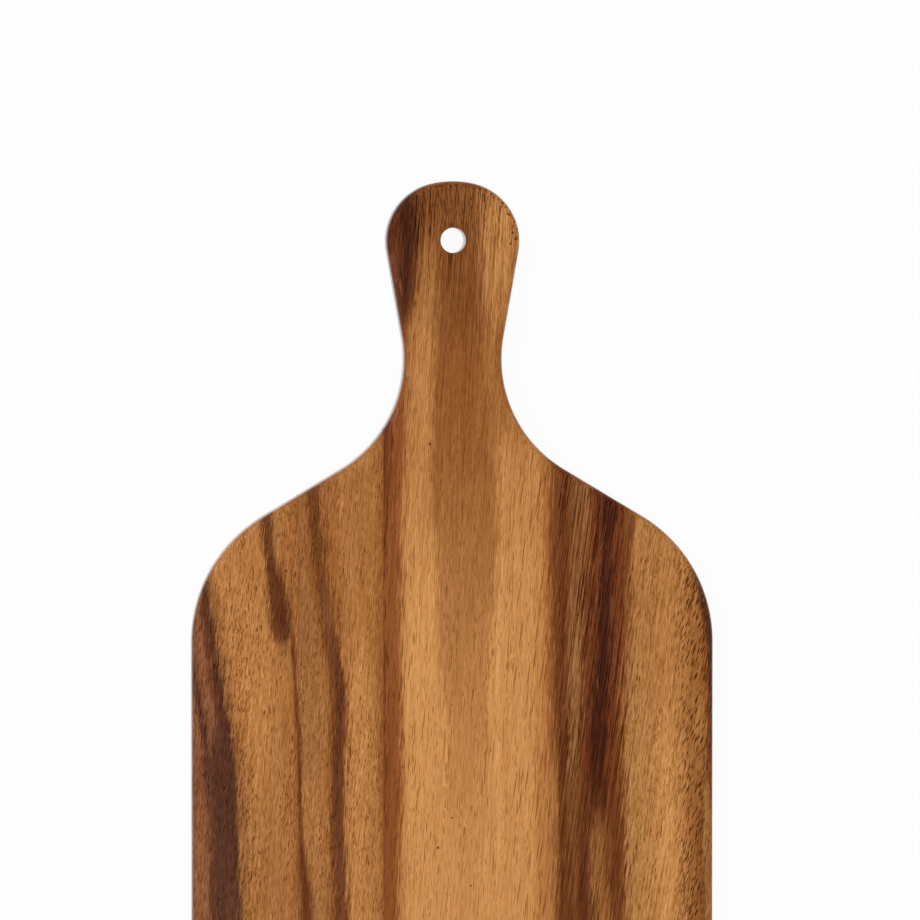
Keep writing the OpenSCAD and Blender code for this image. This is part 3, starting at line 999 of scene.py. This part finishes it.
def draw_outline(shape):
    """Draw the right half of the paddle from the tip to the middle of the foot."""
    tip_y = shape.length / 2
    foot_y = -shape.length / 2
    angle = shape.shoulder_angle

    # Centres of the arcs, each touching the next
    tip_c = Vector((0, tip_y - shape.tip_radius))
    head_x = shape.head_width / 2 - shape.head_radius
    rise = math.sqrt((shape.tip_radius - shape.head_radius) ** 2 - head_x ** 2)
    head_c = Vector((head_x, tip_c.y + rise))
    neck_c = Vector((shape.neck_width / 2 + shape.neck_radius, tip_y - shape.neck_down))
    shoulder_x = shape.width / 2 - shape.shoulder_radius
    facing = Vector((math.cos(angle), math.sin(angle)))
    reach = neck_c.dot(facing) - shape.neck_radius - shape.shoulder_radius - shoulder_x * facing.x
    shoulder_c = Vector((shoulder_x, reach / facing.y))
    foot_c = Vector((shape.width / 2 - shape.foot_radius, foot_y + shape.foot_radius))

    # Angles where one arc hands over to the next
    tip_turn = math.atan2(head_c.y - tip_c.y, head_c.x)
    apart = neck_c - head_c
    taper = math.atan2(-apart.y, apart.x) - math.acos((shape.head_radius + shape.neck_radius) / apart.length)

    bpy.ops.mesh.primitive_plane_add(size=shape.arc_step)
    bpy.ops.object.mode_set(mode="EDIT")
    bpy.ops.mesh.select_mode(type="VERT")
    bpy.ops.mesh.select_all(action="SELECT")
    bpy.ops.mesh.merge(type="CENTER")
    bpy.ops.transform.translate(value=(0, tip_y, 0))
    draw_arc(shape, tip_c, shape.tip_radius, math.pi / 2 - tip_turn)
    draw_arc(shape, head_c, shape.head_radius, tip_turn + taper)
    draw_line(round_from(head_c, shape.head_radius, -taper),
              round_from(neck_c, shape.neck_radius, math.pi - taper))
    draw_arc(shape, neck_c, shape.neck_radius, -(angle + taper))
    draw_line(round_from(neck_c, shape.neck_radius, math.pi + angle),
              round_from(shoulder_c, shape.shoulder_radius, angle))
    draw_arc(shape, shoulder_c, shape.shoulder_radius, angle)
    draw_line(round_from(shoulder_c, shape.shoulder_radius, 0), round_from(foot_c, shape.foot_radius, 0))
    draw_arc(shape, foot_c, shape.foot_radius, math.pi / 2)
    draw_line((foot_c.x, foot_y), (0, foot_y))


def paddle_blank(shape):
    """The whole paddle as one sawn and rounded-over panel, before it is parted at the joints."""
    deselect_all()
    draw_outline(shape)
    bpy.ops.object.mode_set(mode="OBJECT")
    blank = bpy.context.object
    apply_modifier(blank, "MIRROR", merge_threshold=NEAR)
    bpy.ops.object.mode_set(mode="EDIT")
    bpy.ops.mesh.select_all(action="SELECT")
    bpy.ops.mesh.remove_doubles(threshold=NEAR)
    bpy.ops.mesh.edge_face_add()
    bpy.ops.mesh.extrude_region_move(TRANSFORM_OT_translate={"value": (0, 0, shape.thickness)})
    bpy.ops.mesh.select_all(action="SELECT")
    bpy.ops.mesh.normals_make_consistent(inside=False)
    for level in (0, shape.thickness):
        round_edges(blank, lambda point: abs(point.z - level) < NEAR, shape.edge_radius, shape.edge_segments)
    bpy.ops.object.mode_set(mode="OBJECT")
    return blank


def part_between(shape, left, right):
    """Saw the panel in edit mode along its joint planes and close the cuts; its long sides stay whole."""
    for place, facing in ((left, -1), (right, 1)):
        if abs(place) < shape.width / 2 - NEAR:
            bpy.ops.mesh.select_all(action="SELECT")
            bpy.ops.mesh.bisect(plane_co=(place, 0, 0), plane_no=(facing, 0, 0), use_fill=True,
                                clear_outer=True)


def smooth_piece(piece):
    """Smooth the rounded edges, keep the joints crisp and the faces flat."""
    make_active(piece)
    bpy.ops.object.shade_smooth_by_angle(angle=CRISP_ANGLE)
    apply_modifier(piece, "WEIGHTED_NORMAL", keep_sharp=True)


def saw_piece(name, node):
    """One plank or glue line, sawn from a fresh panel at the CAD node's own joint planes."""
    shape = bpy.context.scene.paddle_shape
    low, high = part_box(node)
    piece = paddle_blank(shape)
    piece.name = name
    piece.data.name = name
    bpy.ops.object.mode_set(mode="EDIT")
    part_between(shape, low.x, high.x)
    bpy.ops.object.mode_set(mode="OBJECT")
    return piece


def hand_over(piece, node, material):
    """Smooth a piece, give it its finish and set it in the frame in place of its CAD node."""
    smooth_piece(piece)
    piece.data.materials.clear()
    piece.data.materials.append(material)
    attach(piece, BODY)
    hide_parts(node)


def drill_hole(piece, shape):
    """Drill the hanging hole through a piece and ease both of its rims."""
    middle = Vector((HOLE["pos_m"][0], HOLE["pos_m"][1], shape.thickness / 2))
    deselect_all()
    bpy.ops.mesh.primitive_cylinder_add(vertices=shape.hole_facets, radius=shape.hole_radius,
                                        depth=shape.thickness * 2, location=middle)
    drill = bpy.context.object
    make_active(piece)
    apply_modifier(piece, "BOOLEAN", operation="DIFFERENCE", solver="EXACT", object=drill)
    bpy.data.objects.remove(drill)

    def on_rim(point):
        outside = abs((point - middle).to_2d().length - shape.hole_radius)
        level = min(abs(point.z), abs(point.z - shape.thickness))
        return outside < NEAR and level < NEAR

    bpy.ops.object.mode_set(mode="EDIT")
    round_edges(piece, on_rim, shape.hole_ease, shape.rim_segments)
    bpy.ops.object.mode_set(mode="OBJECT")


def saw_pair(kind, left_timber, right_timber):
    """Saw and finish the two planks of one kind, on the left and on the right."""
    for side, timber in (("left", left_timber), ("right", right_timber)):
        node = side + kind + "_stave"
        piece = saw_piece(side + kind + "_plank", node)
        hand_over(piece, node, plank_finish(timber))


class EdgePlanks(bpy.types.Operator):
    """Saw the two outer planks, with the shoulders' turns and the long sides"""

    bl_idname = "mesh.paddle_edge_planks"
    bl_label = "Edge Planks"

    def execute(self, context):
        saw_pair("_edge", LEFT_EDGE_TIMBER, RIGHT_EDGE_TIMBER)
        return {"FINISHED"}


class InnerPlanks(bpy.types.Operator):
    """Saw the two inner planks, on both sides of the handle plank"""

    bl_idname = "mesh.paddle_inner_planks"
    bl_label = "Inner Planks"

    def execute(self, context):
        saw_pair("_inner", LEFT_INNER_TIMBER, RIGHT_INNER_TIMBER)
        return {"FINISHED"}


class HandlePlank(bpy.types.Operator):
    """Saw the middle plank, which carries the handle, and drill its hanging hole"""

    bl_idname = "mesh.paddle_handle_plank"
    bl_label = "Handle Plank"

    def execute(self, context):
        piece = saw_piece("handle_plank", "handle_stave")
        drill_hole(piece, context.scene.paddle_shape)
        hand_over(piece, "handle_stave", plank_finish(HANDLE_TIMBER))
        return {"FINISHED"}


class GlueSeams(bpy.types.Operator):
    """Lay the four thin glue lines between the planks"""

    bl_idname = "mesh.paddle_glue_seams"
    bl_label = "Glue Seams"

    def execute(self, context):
        material = glue_finish()
        for seam in ("left_outer", "left_inner", "right_inner", "right_outer"):
            node = seam + "_glue_line"
            piece = saw_piece(seam + "_glue_seam", node)
            hand_over(piece, node, material)
        return {"FINISHED"}


def floor_finish(stage):
    """Pale floor that the camera sees almost white, with a soft shadow kept on it."""
    material, sheet, surface = new_finish("pale_floor")
    lit = sheet.add("ShaderNodeBsdfDiffuse", {"Color": (*stage.floor_tone, 1)})
    white = sheet.add("ShaderNodeEmission", {"Strength": 1})
    ray = sheet.add("ShaderNodeLightPath").outputs
    seen = sheet.math("MAXIMUM", ray["Is Camera Ray"],
                      sheet.math("MAXIMUM", ray["Is Glossy Ray"], ray["Is Transmission Ray"]))
    share = sheet.math("MULTIPLY", seen, stage.floor_glow)
    mixed = sheet.add("ShaderNodeMixShader", {"Fac": share, 1: lit.outputs[0], 2: white.outputs[0]})
    sheet.feed(surface, mixed.outputs[0])
    return material


def light_world(stage):
    """Even light from all round, white where the camera sees it."""
    world = bpy.data.worlds.new("studio")
    sheet, surface = blank_sheet(world, "ShaderNodeOutputWorld")
    ray = sheet.add("ShaderNodeLightPath").outputs
    strength = sheet.ranged(ray["Is Camera Ray"], (0, 1), (stage.room_light, 1))
    sky = sheet.add("ShaderNodeBackground", {"Color": (1, 1, 1, 1), "Strength": strength})
    sheet.feed(surface, sky.outputs[0])
    bpy.context.scene.world = world


def hang_lamp(name, stage, across, along, share):
    """Soft square lamp that faces the board, with the power that gives its share of the light on top."""
    away = Vector((across * stage.lamp_reach, along * stage.lamp_reach, stage.lamp_height))
    data = bpy.data.lights.new(name, "AREA")
    data.size = stage.lamp_size
    data.energy = share * math.pi ** 2 * away.length ** 3 / away.z
    lamp = bpy.data.objects.new(name, data)
    lamp.location = away
    lamp.rotation_euler = away.to_track_quat("Z", "Y").to_euler()
    lamp.visible_camera = False
    bpy.context.scene.collection.objects.link(lamp)


def set_camera(stage):
    """Camera almost straight above the handle half of the board."""
    data = bpy.data.cameras.new("camera")
    data.lens = stage.lens
    data.clip_end = stage.view_reach
    camera = bpy.data.objects.new("camera", data)
    direction = Vector(stage.view_from).normalized()
    distance = stage.view_width * stage.lens / data.sensor_width
    camera.location = Vector(stage.view_centre) + direction * distance
    right = Vector((0, 1, 0)).cross(direction).normalized()
    turn = Matrix((right, direction.cross(right), direction)).transposed()
    camera.rotation_euler = turn.to_euler()
    bpy.context.scene.collection.objects.link(camera)
    bpy.context.scene.camera = camera


class PaddleStage(bpy.types.Operator):
    """Lay the pale floor, hang the soft lamps and set the camera"""

    bl_idname = "scene.paddle_stage"
    bl_label = "Studio Stage"

    def execute(self, context):
        stage = context.scene.stage_settings
        deselect_all()
        bpy.ops.mesh.primitive_plane_add(size=stage.floor_size)
        bpy.ops.object.mode_set(mode="EDIT")
        bpy.ops.transform.translate(value=(0, 0, -stage.floor_gap))
        bpy.ops.object.mode_set(mode="OBJECT")
        floor = context.object
        floor.name = "floor"
        floor.data.materials.append(floor_finish(stage))
        light_world(stage)
        for end, along in (("back", 1), ("front", -1)):
            for side, across in (("left", -1), ("right", 1)):
                corner = end + "_" + side
                hang_lamp(corner + "_lamp", stage, across, along, getattr(stage, corner + "_light"))
        set_camera(stage)
        context.scene.view_settings.view_transform = "Standard"
        return {"FINISHED"}


class PaddlePanel(bpy.types.Panel):
    """Sidebar panel that lists the steps in order"""

    bl_idname = "VIEW3D_PT_paddle_board"
    bl_label = "Paddle Board"
    bl_space_type = "VIEW_3D"
    bl_region_type = "UI"
    bl_category = "Paddle Board"

    def draw(self, context):
        for step in STEPS:
            self.layout.operator(step.bl_idname)


STEPS = (EdgePlanks, InnerPlanks, HandlePlank, GlueSeams, PaddleStage)
SETTINGS = {
    "paddle_shape": PaddleShape,
    "wood_tones": WoodTones,
    "grain_settings": GrainSettings,
    "stage_settings": StageSettings,
}


def register():
    for name, settings in SETTINGS.items():
        bpy.utils.register_class(settings)
        setattr(bpy.types.Scene, name, bpy.props.PointerProperty(type=settings))
    for step in STEPS:
        bpy.utils.register_class(step)
    bpy.utils.register_class(PaddlePanel)


def unregister():
    bpy.utils.unregister_class(PaddlePanel)
    for step in reversed(STEPS):
        bpy.utils.unregister_class(step)
    for name, settings in reversed(SETTINGS.items()):
        delattr(bpy.types.Scene, name)
        bpy.utils.unregister_class(settings)


def main():
    register()
    bpy.ops.mesh.paddle_edge_planks()
    bpy.ops.mesh.paddle_inner_planks()
    bpy.ops.mesh.paddle_handle_plank()
    bpy.ops.mesh.paddle_glue_seams()
    bpy.ops.scene.paddle_stage()


if __name__ == "__main__":
    main()
